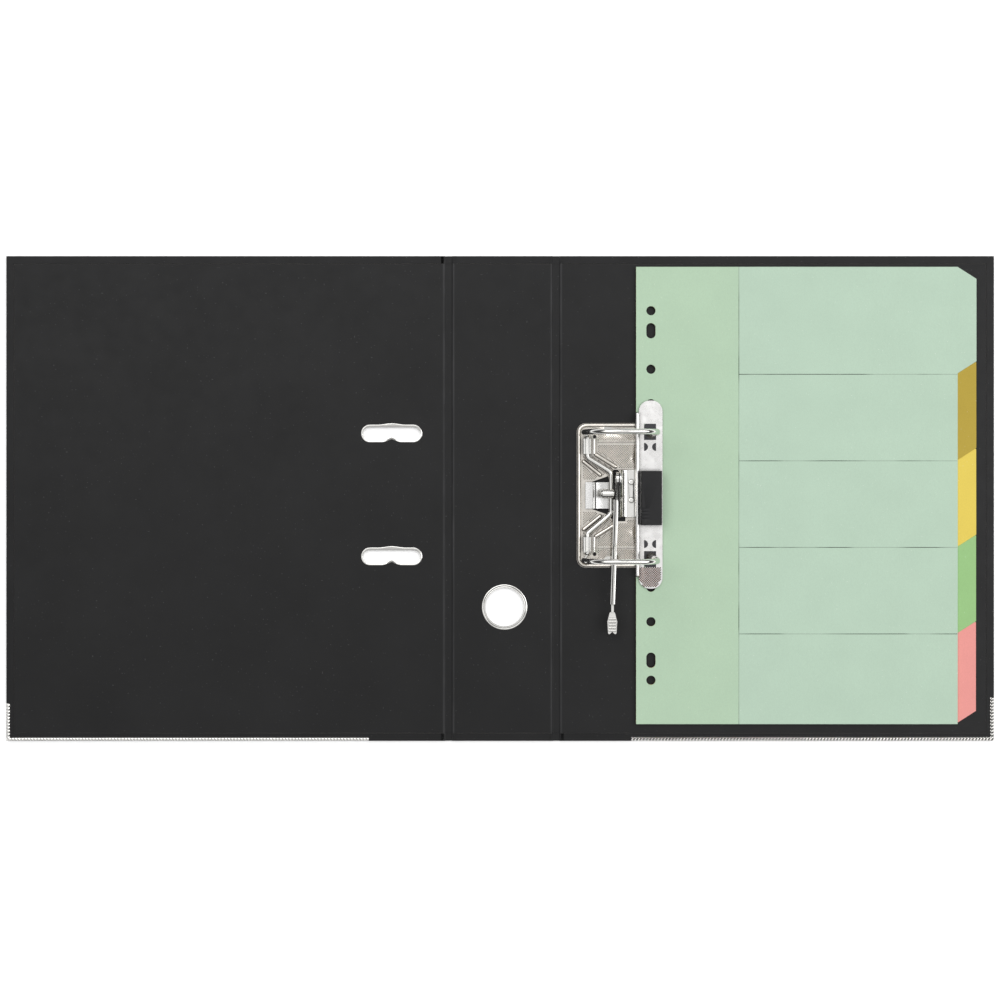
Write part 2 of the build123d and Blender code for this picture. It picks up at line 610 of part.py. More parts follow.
def compressor_bar():
    """Bar with a beaded lip, slotted over both posts, with two ears for the handle's pin."""
    length = 2 * BAR_HALF
    plan = RectangleRounded(BAR_X[1] - BAR_X[0], length, BAR_CORNER)
    bar = Pos((BAR_X[0] + BAR_X[1]) / 2, BAR_SHIFT, BAR_Z) * extrude(plan, BAR_THICK)
    bead_z = BAR_Z + LIP_RADIUS
    bead = rod_along_y(BAR_X[0] - LIP_OVERHANG, -LIP_HALF, LIP_HALF, bead_z, LIP_RADIUS)
    bar += Pos(0, BAR_SHIFT, 0) * fillet(bead.edges().filter_by(GeomType.CIRCLE), 0.9 * LIP_RADIUS)
    for side in (-1, 1):
        bar -= Pos(BAR_SLOT_X, side * BAR_SLOT_Y, BAR_Z) * extrude(Rectangle(*BAR_SLOT), BAR_THICK)
        for moon in half_moons(side):
            bar -= moon
    for y in EAR_Y:
        bar += handle_ear(y)
    return bar - rod_along_y(HANDLE_PIN_X, *HANDLE_Y, HANDLE_PIN_Z, HINGE_PIN_RADIUS)


def locking_strip():
    """Thin strip under the bar, whose two holes bite on the posts."""
    strip = Pos(POST_X, 0, STRIP_Z) * extrude(RectangleRounded(STRIP_WIDTH, 2 * STRIP_HALF, 2.0), STRIP_THICK)
    for side in (-1, 1):
        strip -= upright_rod(POST_X, side * POST_Y, STRIP_Z, STRIP_Z + STRIP_THICK, STRIP_HOLE_RADIUS)
    return strip


def handle_hinge_pin():
    y0, y1 = HANDLE_Y
    return rod_along_y(HANDLE_PIN_X, y0 + 0.4, y1 - 0.4, HANDLE_PIN_Z, HINGE_PIN_RADIUS)


def compressor_handle():
    """Moulded grip, hollow underneath, hinged along its spine side."""
    x0, x1 = HANDLE_X
    y0, y1 = HANDLE_Y
    heel_radius = HANDLE_PIN_X - x0
    low = HANDLE_PIN_Z - heel_radius
    top = low + HANDLE_HEIGHT
    side_view = polygon(
        (x0, HANDLE_PIN_Z), (x0, top - 0.4), (x1, top - 1.4), (x1, low), (HANDLE_PIN_X, low),
    )
    side_view += Pos(HANDLE_PIN_X, HANDLE_PIN_Z) * Circle(heel_radius)
    grip = along_y(side_view, y0, y1)
    highest_edge = grip.edges().filter_by(Axis.Y).sort_by(Axis.Z)[-1:]
    grip = fillet(grip.edges().group_by(Axis.Z)[-1] + highest_edge, 0.8)
    wall = HANDLE_WALL
    grip -= slab(x0 + wall, x1 - wall, y0 + wall, y1 - wall, low, top - HANDLE_TOP_WALL)
    for y in EAR_Y:
        ear_top = HANDLE_PIN_Z + EAR_RADIUS + 0.6
        grip -= slab(x0, HANDLE_PIN_X, y - EAR_THICK, y + EAR_THICK, low, ear_top)
    for groove in range(GRIP_GROOVES):
        y = y0 + 4.0 + GROOVE_PITCH * groove
        grip -= rod_along_x(x0, x1, y, top + 0.1, GROOVE_RADIUS)
    return grip - rod_along_y(HANDLE_PIN_X, y0, y1, HANDLE_PIN_Z, HINGE_PIN_RADIUS + RUNNING)


# --- dividers ----------------------------------------------------------------------------------------
def divider_sheet(index):
    """One punched sheet with its own tab, counted from 0 at the top of the pile."""
    width, height = SHEET_SIZE
    x1 = SHEET_X + width
    bottom, top = -height / 2, height / 2
    tab_top = TAB_EDGES[index] + (TAB_SLANT + TAB_TUCK if index else 0)
    tab_bottom = TAB_EDGES[index + 1]
    body = polygon((SHEET_X, bottom), (x1, bottom), (x1, top), (SHEET_X, top))
    tab = polygon(
        (x1 - 1, tab_top), (x1, tab_top), (x1 + TAB_WIDTH, tab_top - TAB_SLANT),
        (x1 + TAB_WIDTH, tab_bottom + TAB_SLANT), (x1, tab_bottom), (x1 - 1, tab_bottom),
    )
    outline = body + tab
    for offset in HOLE_OFFSETS:
        for side in (-1, 1):
            outline -= Pos(POST_X, side * offset) * Circle(HOLE_RADIUS)
    for side in (-1, 1):
        outline -= Pos(POST_X, side * OVAL_OFFSET) * Rot(0, 0, 90) * SlotOverall(OVAL_LENGTH, 2 * HOLE_RADIUS)
    level = SHEET_BASE + (SHEETS - 1 - index) * SHEET_PITCH
    return Pos(0, 0, level) * extrude(outline, SHEET_THICK)


def bound_edge(sheet):
    """Punched margin that stays on the posts."""
    return sheet & slab(SHEET_X, LEAF_X - LEAF_SLIT, -EDGE_Y, EDGE_Y, DECK, BAR_TOP)


def leaf(sheet):
    """The rest of the sheet, which turns like a page."""
    return sheet & slab(LEAF_X + LEAF_SLIT, BACK_EDGE_X, -EDGE_Y, EDGE_Y, DECK, BAR_TOP)


# --- assembly ----------------------------------------------------------------------------------------
def in_place(solid):
    """Move a piece of the mechanism from its own middle to its place in the file."""
    return Pos(0, MECH_Y, 0) * solid


def back_cover_parts():
    shoe = edge_shoe(BACK_EDGE_X, SHOE_RISE[1])
    rivet_holes = in_place(plate_rivets(0))
    posts = {side: in_place(paper_post(side)) for side in (-1, 1)}
    foot_rivets = in_place(bracket_rivets())
    return {
        "back_board": cover_board(BACK_EDGE_X) - rivet_holes,
        "back_wrap": cover_wrap(BACK_EDGE_X) - shoe - rivet_holes,
        "back_liner": cover_liner(BACK_EDGE_X) - rivet_holes,
        "back_edge_shoe": shoe,
        "base_plate": in_place(base_plate()) - rivet_holes - posts[-1] - posts[1] - foot_rivets,
        "plate_rivets": in_place(plate_rivets(RIVET_BORE)),
        "upper_post": posts[1],
        "lower_post": posts[-1],
        "lever_bracket": in_place(lever_bracket()) - foot_rivets,
        "bracket_rivets": foot_rivets,
        "lever_pivot_pin": in_place(lever_pivot_pin()),
    }


def front_cover_parts():
    shoe = mirrored(edge_shoe(FRONT_EDGE_X, SHOE_RISE[0]))
    board = mirrored(cover_board(FRONT_EDGE_X))
    wrap = mirrored(cover_wrap(FRONT_EDGE_X)) - shoe
    liner = mirrored(cover_liner(FRONT_EDGE_X))
    eyelets = {}
    for name, side in (("upper", 1), ("lower", -1)):
        slot_y = MECH_Y + SLOT_SHIFT + side * POST_Y
        board -= slot_column(slot_tube_size(), 0, slot_y, 0, INNER_FACE)
        liner -= slot_column(slot_tube_size(), 0, slot_y, 0, INNER_FACE)
        wrap -= slot_column(SLOT_FLANGE, 0, slot_y, 0, INNER_FACE)
        eyelets[name + "_slot_eyelet"] = slot_eyelet(slot_y)
        eyelets[name + "_slot_washer"] = slot_washer(slot_y)
    panel = {"front_board": board, "front_wrap": wrap, "front_liner": liner, "front_edge_shoe": shoe}
    return {**panel, **eyelets}


def spine_parts():
    ring = finger_ring()
    hole = upright_rod(FINGER_X, FINGER_Y, 0, INNER_FACE, FINGER_BORE + TUBE_WALL)
    return {
        "spine_board": spine_board() - hole,
        "spine_wrap": spine_wrap() - upright_rod(FINGER_X, FINGER_Y, 0, WRAP, FINGER_FLANGE) - spine_label(),
        "spine_liner": spine_liner() - hole,
        "spine_label": spine_label(),
        "finger_ring": ring,
        "finger_ring_washer": finger_ring_washer(),
    }


def moving_mechanism_parts():
    pieces = {
        "arch_wire": arch_wire(),
        "lift_spring": lift_spring(),
        "lever": lever(),
        "roller_pin": roller_pin(),
        "roller": roller(),
        "compressor_bar": compressor_bar(),
        "locking_strip": locking_strip(),
        "handle_hinge_pin": handle_hinge_pin(),
        "compressor_handle": compressor_handle(),
    }
    return {name: in_place(solid) for name, solid in pieces.items()}


def divider_parts():
    pieces = {}
    for index in range(SHEETS):
        sheet = in_place(divider_sheet(index))
        pieces[f"divider_{index + 1}_bound_edge"] = bound_edge(sheet)
        pieces[f"divider_{index + 1}_leaf"] = leaf(sheet)
    return pieces


parts = {
    **back_cover_parts(),
    **front_cover_parts(),
    **spine_parts(),
    **moving_mechanism_parts(),
    **divider_parts(),
}

os.makedirs("parts", exist_ok=True)
for name, solid in parts.items():
    export_step(solid, f"parts/{name}.step")
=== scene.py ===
import bmesh
import bpy
from math import cos, hypot, pi, radians, sin
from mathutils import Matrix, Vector, noise
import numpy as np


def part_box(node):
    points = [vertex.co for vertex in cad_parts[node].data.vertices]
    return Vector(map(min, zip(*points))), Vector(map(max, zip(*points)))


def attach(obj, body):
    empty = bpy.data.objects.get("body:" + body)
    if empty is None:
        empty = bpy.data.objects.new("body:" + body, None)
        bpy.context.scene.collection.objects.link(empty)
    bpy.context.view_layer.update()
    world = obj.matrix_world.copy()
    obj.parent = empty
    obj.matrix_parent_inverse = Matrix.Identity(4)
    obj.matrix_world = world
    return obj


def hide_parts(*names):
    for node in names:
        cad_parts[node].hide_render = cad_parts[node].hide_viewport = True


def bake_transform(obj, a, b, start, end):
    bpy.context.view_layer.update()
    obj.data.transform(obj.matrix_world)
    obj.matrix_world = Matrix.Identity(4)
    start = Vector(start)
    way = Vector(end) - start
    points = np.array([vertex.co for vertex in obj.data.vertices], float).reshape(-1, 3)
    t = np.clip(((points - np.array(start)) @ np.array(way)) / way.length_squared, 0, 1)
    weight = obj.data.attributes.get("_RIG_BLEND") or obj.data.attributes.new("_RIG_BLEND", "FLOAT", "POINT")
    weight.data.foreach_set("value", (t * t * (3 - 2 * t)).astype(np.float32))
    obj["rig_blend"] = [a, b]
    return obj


# Looks of a lever arch file that lies open and flat. Lengths in this script are in
# millimetres until a mesh is made; +X runs to the back cover's fore edge, +Y to the top edge.

MM = 0.001
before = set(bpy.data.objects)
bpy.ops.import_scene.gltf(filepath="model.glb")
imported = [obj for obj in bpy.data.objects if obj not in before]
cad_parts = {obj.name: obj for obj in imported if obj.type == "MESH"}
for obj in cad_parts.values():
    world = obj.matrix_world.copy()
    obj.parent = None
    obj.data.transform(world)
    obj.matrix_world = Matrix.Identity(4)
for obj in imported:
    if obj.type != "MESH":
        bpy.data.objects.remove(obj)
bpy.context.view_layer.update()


def corners(node):
    """Lowest and highest corner of a CAD node in millimetres."""
    low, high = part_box(node)
    return low / MM, high / MM


# --- places taken from the CAD model ------------------------------------------------------
PLATE_LOW, PLATE_HIGH = corners("base_plate")
BAR_LOW, BAR_HIGH = corners("compressor_bar")
BRACKET_LOW, BRACKET_HIGH = corners("lever_bracket")
SPRING_END_X = corners("lift_spring")[1].x
RING_LOW, RING_HIGH = corners("finger_ring")
LEAF_LOW, LEAF_HIGH = corners("divider_1_leaf")
MECH_Y = (PLATE_LOW.y + PLATE_HIGH.y) / 2
INNER_FACE = PLATE_LOW.z
PLATE_THICK = 0.8
DECK = INNER_FACE + PLATE_THICK
BAR_TOP = BAR_LOW.z + 0.8
COVER_EDGE_Y = corners("back_wrap")[1].y
HINGE_X = 35.0
WRAP, LINER = 0.3, 0.2  # thickness of the covering and of the lining
FILM_HALF = 0.3  # half width of the bare film over each hinge line
SHEETS = 5

# --- sizes of the finer detail ----------------------------------------------------------------
GROOVE_FLOOR = 1.7  # half width of the flat floor of a hinge groove
GROOVE_TOP = 3.1  # half width of a hinge groove at the covers' inner face
GROOVE_BASE = 1.8  # height of the lining in the middle of a groove
HIGHLIGHT_AT, HIGHLIGHT_WIDTH = 3.0, 1.1  # painted highlight at the edge of each hinge groove
GROOVE_REACH = 5.0  # each hinge strip ends this far from its hinge line
TURN_IN = 5.0  # band of covering folded onto the inner face
SEAM = 0.1  # the folded-in covering stands this far above the lining and apart from it
HINGE_BEND = 1.5  # a hinge strip bends this far to each side of its hinge line
RIB_PITCH = 2.1  # slanted ribs on the metal shoes
RIB_HEIGHT = {"back_cover": 0.8, "front_cover": 0.3}
SHOE_STANDS = 0.85  # the shoes' ribbed strip stands this far above the inner face
STEP = 0.4  # distance between sections along the shoes and the slots
STUD_PITCH = 1.5  # diamond embossing of the base plate
STUD_HEIGHT = 0.34
STUD_REACH, KNURL_REACH = 0.54, 0.64  # half width of a stud on the plate, on the bar
STUD_SUNK = 0.02  # a stud's foot lies this far inside the surface below it
CORNER_LIFT = 0.03  # keeps the two runs of a shoe from sharing a plane at their corner
NOTCH_DEPTH, NOTCH_REACH = 2.2, 6.0  # kink in the lower side of each slot's rim
SLOT_LENGTH, SLOT_WIDTH = 37.4, 9.2  # opening of each slot
RIM_STANDS, RIM_WIDTH = 0.7, 1.4  # rolled rim of each slot, above the inner face and across
RING_WIDTH = 2.3  # flange of the finger ring, from its bore out
CROWN, CROWN_REACH = 0.9, 9.0  # low arch in the middle of each rim's upper side
UPPER_INWARD = 0.6  # the upper side of each rim is wider on the inside
ARM_STATIONS = ((-2.4, 73.05, 17.3), (-10.0, 73.05, 16.6), (-70.0, 71.15, 13.8))  # Y, X, Z of the arm's top
KNURL_X, KNURL_Y = (15.0, 1.4), (1.5, 13.5)  # in from the bar's outer edge, up from its lower end
KNURL_HALF, KNURL_SPREAD = 3.6, 0.55  # half width of the knurl at the bar's end, growth per millimetre
BEND_START, BEND_END = 106.0, 124.0  # where the dividers bend when they turn
SLIT_X = 108.0
FINE_CUT, WIDE_CUT, LONG_CUT = 0.9, 9, 12  # cuts through a sheet in its bend, beyond it and along Y
PAPER_WAVE = 0.2  # height of the sheets' gentle wave
LINE_X = 153.6  # upright printed line on the top divider
LINES, LINE_PITCH, LINE_TOP_Y = 4, 56.2, 80.7  # level printed lines, from the top down
LINE_WIDTH = 0.42
LINE_STOP = 12.4  # the level lines stop this far from the top sheet's fore edge
COLOUR_A, COLOUR_B, COLOUR_OUT = 6, 7, 2  # sockets of a Mix node that mixes colours


# --- materials -----------------------------------------------------------------------------------
class Finish:
    """A Principled material whose detail nodes all read one set of coordinates in metres."""

    def __init__(self, name, rest_coordinates=False):
        self.material = bpy.data.materials.new(name)
        self.material.use_nodes = True
        self.tree = self.material.node_tree
        self.shader = self.tree.nodes["Principled BSDF"]
        if rest_coordinates:
            source = self.tree.nodes.new("ShaderNodeAttribute")
            source.attribute_name = "rest_place"
            self.place = source.outputs["Vector"]
        else:
            self.place = self.tree.nodes.new("ShaderNodeTexCoord").outputs["Object"]

    def add(self, kind, settings=None, **inputs):
        """New node; an input is a number, a colour or another node's socket."""
        made = self.tree.nodes.new("ShaderNode" + kind)
        for name, value in (settings or {}).items():
            setattr(made, name, value)
        for name, value in inputs.items():
            self.join(value, made.inputs[name.replace("_", " ")])
        return made

    def join(self, value, socket):
        if isinstance(value, bpy.types.NodeSocket):
            self.tree.links.new(value, socket)
        else:
            socket.default_value = value

    def set(self, **inputs):
        for name, value in inputs.items():
            self.join(value, self.shader.inputs[name.replace("_", " ")])

    def noise(self, size_mm, detail=3.0, stretch=None):
        """Noise from 0 to 1 with spots of about this size, longer along stretched axes."""
        place = self.place
        if stretch:
            place = self.add("Mapping", Vector=place, Scale=stretch).outputs["Vector"]
        made = self.add("TexNoise", Vector=place, Scale=1 / (size_mm * MM), Detail=detail)
        return made.outputs["Fac"]

    def cells(self, size_mm):
        made = self.add("TexVoronoi", Vector=self.place, Scale=1 / (size_mm * MM))
        return made.outputs["Distance"]

    def spread(self, value, low, high, start=0.3, end=0.7):
        """Carries a value from the range start..end to low..high."""
        made = self.add("MapRange", Value=value, From_Min=start, From_Max=end, To_Min=low, To_Max=high)
        return made.outputs["Result"]

    def calculate(self, operation, first, second=0.0):
        made = self.add("Math", {"operation": operation})
        self.join(first, made.inputs[0])
        self.join(second, made.inputs[1])
        return made.outputs["Value"]

    def blend(self, factor, first, second, kind="MIX"):
        made = self.add("Mix", {"data_type": "RGBA", "blend_type": kind})
        self.join(factor, made.inputs["Factor"])
        self.join(first, made.inputs[COLOUR_A])
        self.join(second, made.inputs[COLOUR_B])
        return made.outputs[COLOUR_OUT]

    def with_painted_corner_shade(self, colour, reach_mm, floor=0.25):
        """The colour, darkened where other surfaces are close: painted shade and painted dark reflections in
        corners.
        """
        openness = self.add("AmbientOcclusion", {"samples": 6}, Distance=reach_mm * MM).outputs["AO"]
        level = self.spread(self.calculate("POWER", openness, 1.5), floor, 1.0, 0.15, 0.9)
        grey = self.add("CombineXYZ", X=level, Y=level, Z=level).outputs["Vector"]
        return self.blend(1.0, colour, grey, "MULTIPLY")

    def bump(self, height, depth_mm, strength=1.0):
        made = self.add("Bump", Height=height, Distance=depth_mm * MM, Strength=strength)
        self.set(Normal=made.outputs["Normal"])


def shade(colour, factor):
    return tuple(channel * factor for channel in colour) + (1.0,)


def covering_film():
    """Satin black film with a fine leather-like grain and a few pale specks of dust."""
    finish = Finish("covering_film")
    black = (0.0102, 0.0102, 0.0106)
    cloudy = finish.spread(finish.noise(38), 0.0, 1.0)
    tone = finish.blend(cloudy, shade(black, 0.85), shade(black, 1.2))
    specks = finish.spread(finish.noise(0.9, 0), 0.0, 0.5, 0.80, 0.86)
    finish.set(Base_Color=finish.blend(specks, tone, shade(black, 9)))
    grain = finish.calculate("ADD", finish.cells(0.55), finish.noise(0.25))
    finish.bump(grain, 0.035, 0.7)
    finish.set(Roughness=finish.spread(finish.noise(6), 0.42, 0.52), Specular_IOR_Level=0.2)
    return finish.material


def painted_groove_highlights(finish):
    """Up to 1 on the painted highlights beside each hinge groove, uneven along their length."""
    across = finish.add("SeparateXYZ", Vector=finish.place).outputs["X"]
    from_middle = finish.calculate("ABSOLUTE", across)
    from_hinge = finish.calculate("ABSOLUTE", finish.calculate("SUBTRACT", from_middle, HINGE_X * MM))
    from_highlight = finish.calculate("ABSOLUTE", finish.calculate("SUBTRACT", from_hinge, HIGHLIGHT_AT * MM))
    line = finish.spread(from_highlight, 1.0, 0.0, 0.2 * MM, HIGHLIGHT_WIDTH * MM)
    unevenness = finish.spread(finish.noise(7, 2, stretch=(1.0, 0.3, 1.0)), 0.35, 1.0)
    return finish.calculate("MULTIPLY", line, unevenness)


def lining_film(rest_coordinates=False):
    """Smooth satin lining, a little lighter than the covering, with a fine even grain."""
    finish = Finish("lining_film" + ("_bent" if rest_coordinates else ""), rest_coordinates)
    black = (0.0117, 0.0117, 0.0121)
    cloudy = finish.spread(finish.noise(55), 0.0, 1.0)
    tone = finish.blend(cloudy, shade(black, 0.88), shade(black, 1.15))
    specks = finish.spread(finish.noise(1.1, 0), 0.0, 0.4, 0.80, 0.86)
    tone = finish.blend(specks, tone, shade(black, 8))
    if rest_coordinates:
        # painted highlights along the edges of the hinge grooves
        tone = finish.blend(painted_groove_highlights(finish), tone, shade(black, 3.4))
    finish.set(Base_Color=tone)
    finish.bump(finish.calculate("ADD", finish.noise(0.35), finish.noise(3.5)), 0.03, 0.5)
    finish.set(Roughness=finish.spread(finish.noise(9), 0.44, 0.54), Specular_IOR_Level=0.2)
    return finish.material


def greyboard():
    finish = Finish("greyboard_fibres")
    fibres = finish.noise(0.4, 5, stretch=(1.0, 0.2, 4.0))
    tone = finish.blend(fibres, (0.20, 0.18, 0.155, 1), (0.42, 0.39, 0.35, 1))
    finish.set(Base_Color=tone, Roughness=0.92)
    finish.bump(fibres, 0.06, 0.8)
    return finish.material


def nickel(name, colour, rough, tint=None, polished_above=None):
    """Nickel plating with faint smears and hairlines, with painted shade in corners and at points marked
    with it; high parts may be brighter.
    """
    finish = Finish(name)
    clouds = finish.spread(finish.noise(5), 0.0, 1.0)
    tone = finish.blend(clouds, shade(colour, 0.93), shade(tint or colour, 1.0))
    if polished_above:
        height = finish.add("SeparateXYZ", Vector=finish.place).outputs["Z"]
        raised = finish.calculate("GREATER_THAN", height, polished_above * MM)
        tone = finish.blend(raised, tone, (0.93, 0.92, 0.89, 1))
    # painted shade: a value stored on the points darkens the plating in hollows and on slopes that face dark
    # surroundings
    painted_shade = finish.add("Attribute", {"attribute_name": "painted_shade"}).outputs["Fac"]
    tone = finish.blend(painted_shade, tone, (0.035, 0.033, 0.030, 1))
    # painted shade: the plating is darkened in corners and close to other parts
    tone = finish.with_painted_corner_shade(tone, 2.5)
    hairlines = finish.noise(0.12, 2, stretch=(1.0, 0.06, 1.0))
    smears = finish.calculate("MULTIPLY", clouds, finish.noise(1.3))
    roughness = finish.spread(smears, rough, rough + 0.14, 0.1, 0.6)
    finish.set(Base_Color=tone, Metallic=1.0, Roughness=roughness)
    finish.bump(finish.calculate("ADD", hairlines, finish.noise(2.2)), 0.010, 0.35)
    return finish.material


def rolled_steel(name, dark, pale):
    """Rolled spring steel with fine lines along X."""
    finish = Finish(name)
    lines = finish.noise(0.15, 3, stretch=(0.05, 1.0, 1.0))
    finish.set(Base_Color=finish.blend(lines, shade(dark, 1.0), shade(pale, 1.0)), Metallic=1.0)
    finish.set(Roughness=finish.spread(lines, 0.16, 0.3))
    finish.bump(lines, 0.012, 0.4)
    return finish.material


def black_plastic():
    """Moulded grip with a fine spark-eroded texture."""
    finish = Finish("black_plastic_moulded")
    texture = finish.noise(0.22, 2)
    finish.set(Base_Color=finish.blend(finish.noise(4), (0.008, 0.008, 0.009, 1), (0.013, 0.013, 0.014, 1)))
    finish.set(Roughness=finish.spread(texture, 0.38, 0.5), Specular_IOR_Level=0.25)
    finish.bump(texture, 0.04, 0.6)
    return finish.material


def near(finish, value, centre, half_width):
    """1 where the value is close to the centre, 0 elsewhere."""
    distance = finish.calculate("ABSOLUTE", finish.calculate("SUBTRACT", value, centre))
    return finish.calculate("LESS_THAN", distance, half_width)


def printed_lines(finish):
    """1 on the upright line and on the four level lines of the top divider."""
    axes = finish.add("SeparateXYZ", Vector=finish.place)
    upright = near(finish, axes.outputs["X"], LINE_X * MM, LINE_WIDTH / 2 * MM)
    right_side = finish.calculate("GREATER_THAN", axes.outputs["X"], LINE_X * MM)
    on_body = finish.calculate("LESS_THAN", axes.outputs["X"], (LEAF_HIGH.x - LINE_STOP) * MM)
    level = 0.0
    for row in range(LINES):
        line_y = (LINE_TOP_Y - row * LINE_PITCH) * MM
        on_line = near(finish, axes.outputs["Y"], line_y, LINE_WIDTH / 2 * MM)
        level = finish.calculate("MAXIMUM", level, on_line)
    level = finish.calculate("MULTIPLY", finish.calculate("MULTIPLY", level, right_side), on_body)
    return finish.calculate("MAXIMUM", upright, level)


def card(name, colour, lined=False):
    """Uncoated tinted card: soft clouds, fibres and pale and dark flecks."""
    finish = Finish(name, rest_coordinates=True)
    clouds = finish.spread(finish.noise(24), 0.0, 1.0)
    tone = finish.blend(clouds, shade(colour, 0.98), shade(colour, 1.02))
    fibres = finish.noise(0.45, 4, stretch=(1.0, 0.45, 1.0))
    tone = finish.blend(finish.spread(fibres, 0.0, 0.26), tone, shade(colour, 0.72))
    flecks = finish.spread(finish.noise(0.8, 0), 0.0, 0.35, 0.83, 0.88)
    tone = finish.blend(flecks, tone, (0.9, 0.92, 0.86, 1))
    if lined:
        across = finish.add("SeparateXYZ", Vector=finish.place).outputs["X"]
        index_column = finish.calculate("LESS_THAN", across, LINE_X * MM)
        tone = finish.blend(index_column, tone, (0.955, 0.978, 0.90, 1), "MULTIPLY")
        ink = finish.spread(finish.noise(32, 2), 0.35, 1.0, 0.42, 0.58)
        ink = finish.calculate("MULTIPLY", printed_lines(finish), ink)
        tone = finish.blend(ink, tone, (0.022, 0.034, 0.024, 1))
    finish.set(Base_Color=tone, Roughness=0.88)
    finish.bump(finish.calculate("ADD", fibres, finish.noise(1.6)), 0.05, 0.5)
    return finish.material


def label_paper():
    finish = Finish("label_paper_white")
    fibres = finish.noise(0.4, 4)
    finish.set(Base_Color=finish.blend(fibres, (0.78, 0.78, 0.76, 1), (0.88, 0.88, 0.86, 1)), Roughness=0.8)
    finish.bump(fibres, 0.03, 0.5)
    return finish.material


FILM = covering_film()
LINING = lining_film()
BENT_LINING = lining_film(rest_coordinates=True)
NICKEL = nickel("bright_nickel_plating", (0.84, 0.83, 0.80), 0.08)
PLATE_NICKEL = nickel(
    "plate_nickel_plating", (0.72, 0.695, 0.64), 0.12, tint=(0.77, 0.72, 0.66), polished_above=DECK + 2.0,
)
BAR_NICKEL = nickel("bar_nickel_plating", (0.81, 0.80, 0.79), 0.24)
KNURL_NICKEL = nickel("knurled_nickel_plating", (0.56, 0.36, 0.28), 0.12)
STEEL = rolled_steel("spring_steel_rolled", (0.66, 0.66, 0.65), (0.82, 0.81, 0.80))
BLUED_STEEL = rolled_steel("blued_steel_rolled", (0.045, 0.045, 0.05), (0.09, 0.09, 0.095))
PLASTIC = black_plastic()
CARDS = (
    card("card_pale_green", (0.480, 0.628, 0.500), lined=True),
    card("card_gold", (0.465, 0.340, 0.049)),
    card("card_yellow", (0.775, 0.600, 0.105)),
    card("card_green", (0.320, 0.553, 0.231)),
    card("card_pink", (0.830, 0.327, 0.297)),
)


# --- meshes ----------------------------------------------------------------------------------------
def smooth_by_angle(mesh, degrees=32):
    """Smooth shading that stays sharp at real edges, with no normals left over from the import."""
    for leftover in [layer for layer in mesh.attributes if layer.name in ("custom_normal", "sharp_face")]:
        mesh.attributes.remove(leftover)
    mesh.shade_smooth()
    mesh.set_sharp_from_angle(angle=radians(degrees))


def made_object(name, mesh, material):
    mesh.materials.clear()
    mesh.materials.append(material)
    smooth_by_angle(mesh)
    thing = bpy.data.objects.new(name, mesh)
    bpy.context.scene.collection.objects.link(thing)
    return thing


def from_bmesh(name, shape, material):
    bmesh.ops.recalc_face_normals(shape, faces=shape.faces[:])
    mesh = bpy.data.meshes.new(name)
    shape.to_mesh(mesh)
    shape.free()
    return made_object(name, mesh, material)


def from_points(name, points, faces, material):
    """Mesh object from points in millimetres."""
    mesh = bpy.data.meshes.new(name)
    mesh.from_pydata([Vector(point) * MM for point in points], [], faces)
    shape = bmesh.new()
    shape.from_mesh(mesh)
    return from_bmesh(name, shape, material)


def loft_faces(ring_count, ring_size, closed_path=False):
    """Faces of a skin over a row of closed rings, capped unless the row itself is closed."""
    faces = []
    for ring in range(ring_count if closed_path else ring_count - 1):
        here, there = ring * ring_size, (ring + 1) % ring_count * ring_size
        for corner in range(ring_size):
            following = (corner + 1) % ring_size
            faces.append((here + corner, here + following, there + following, there + corner))
    if not closed_path:
        last = (ring_count - 1) * ring_size
        faces.append(tuple(range(ring_size)))
        faces.append(tuple(range(last, last + ring_size)))
    return faces


def loft(name, rings, material, closed_path=False):
    points = [point for ring in rings for point in ring]
    return from_points(name, points, loft_faces(len(rings), len(rings[0]), closed_path), material)


def keep_rest_place(thing):
    """Stores each point's place at rest, so that the pattern stays on a sheet that bends."""
    layer = thing.data.attributes.new("rest_place", "FLOAT_VECTOR", "POINT")
    layer.data.foreach_set("vector", [c for vertex in thing.data.vertices for c in vertex.co])
    return thing


def keep_painted_shade(thing, amounts):
    """Stores how much painted shade darkens each point's plating, from 0 to 1."""
    layer = thing.data.attributes.new("painted_shade", "FLOAT", "POINT")
    layer.data.foreach_set("value", amounts)
    return thing


def cad_copy(*nodes):
    """One welded mesh in metres of these CAD nodes."""
    shape = bmesh.new()
    for node in nodes:
        shape.from_mesh(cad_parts[node].data)
    bmesh.ops.remove_doubles(shape, verts=shape.verts[:], dist=0.002 * MM)
    return shape


def cut(shape, axis, positions, clear_inner=False, clear_outer=False):
    """Cuts across an axis, which adds a row of points or takes one side away."""
    normal = Vector((0, 0, 0))
    normal[axis] = 1
    for position in positions:
        everything = shape.verts[:] + shape.edges[:] + shape.faces[:]
        bmesh.ops.bisect_plane(shape, geom=everything, plane_co=normal * position * MM, plane_no=normal,
                               clear_inner=clear_inner, clear_outer=clear_outer)
    if clear_inner or clear_outer:
        bmesh.ops.holes_fill(shape, edges=[edge for edge in shape.edges if edge.is_boundary])


def steps(start, end, spacing):
    """Even places from start to end, about this far apart."""
    count = max(1, round(abs(end - start) / spacing))
    return [start + (end - start) * number / count for number in range(count + 1)]


def ease(value):
    """Smooth rise from 0 to 1 with level ends."""
    value = min(1.0, max(0.0, value))
    return value * value * (3 - 2 * value)


# --- lining and hinge strips -------------------------------------------------------------------------
def groove_height(distance):
    """Height of the lining's upper side at a distance from a hinge line."""
    rise = ease((distance - GROOVE_FLOOR) / (GROOVE_TOP - GROOVE_FLOOR))
    return GROOVE_BASE + (INNER_FACE - GROOVE_BASE) * rise


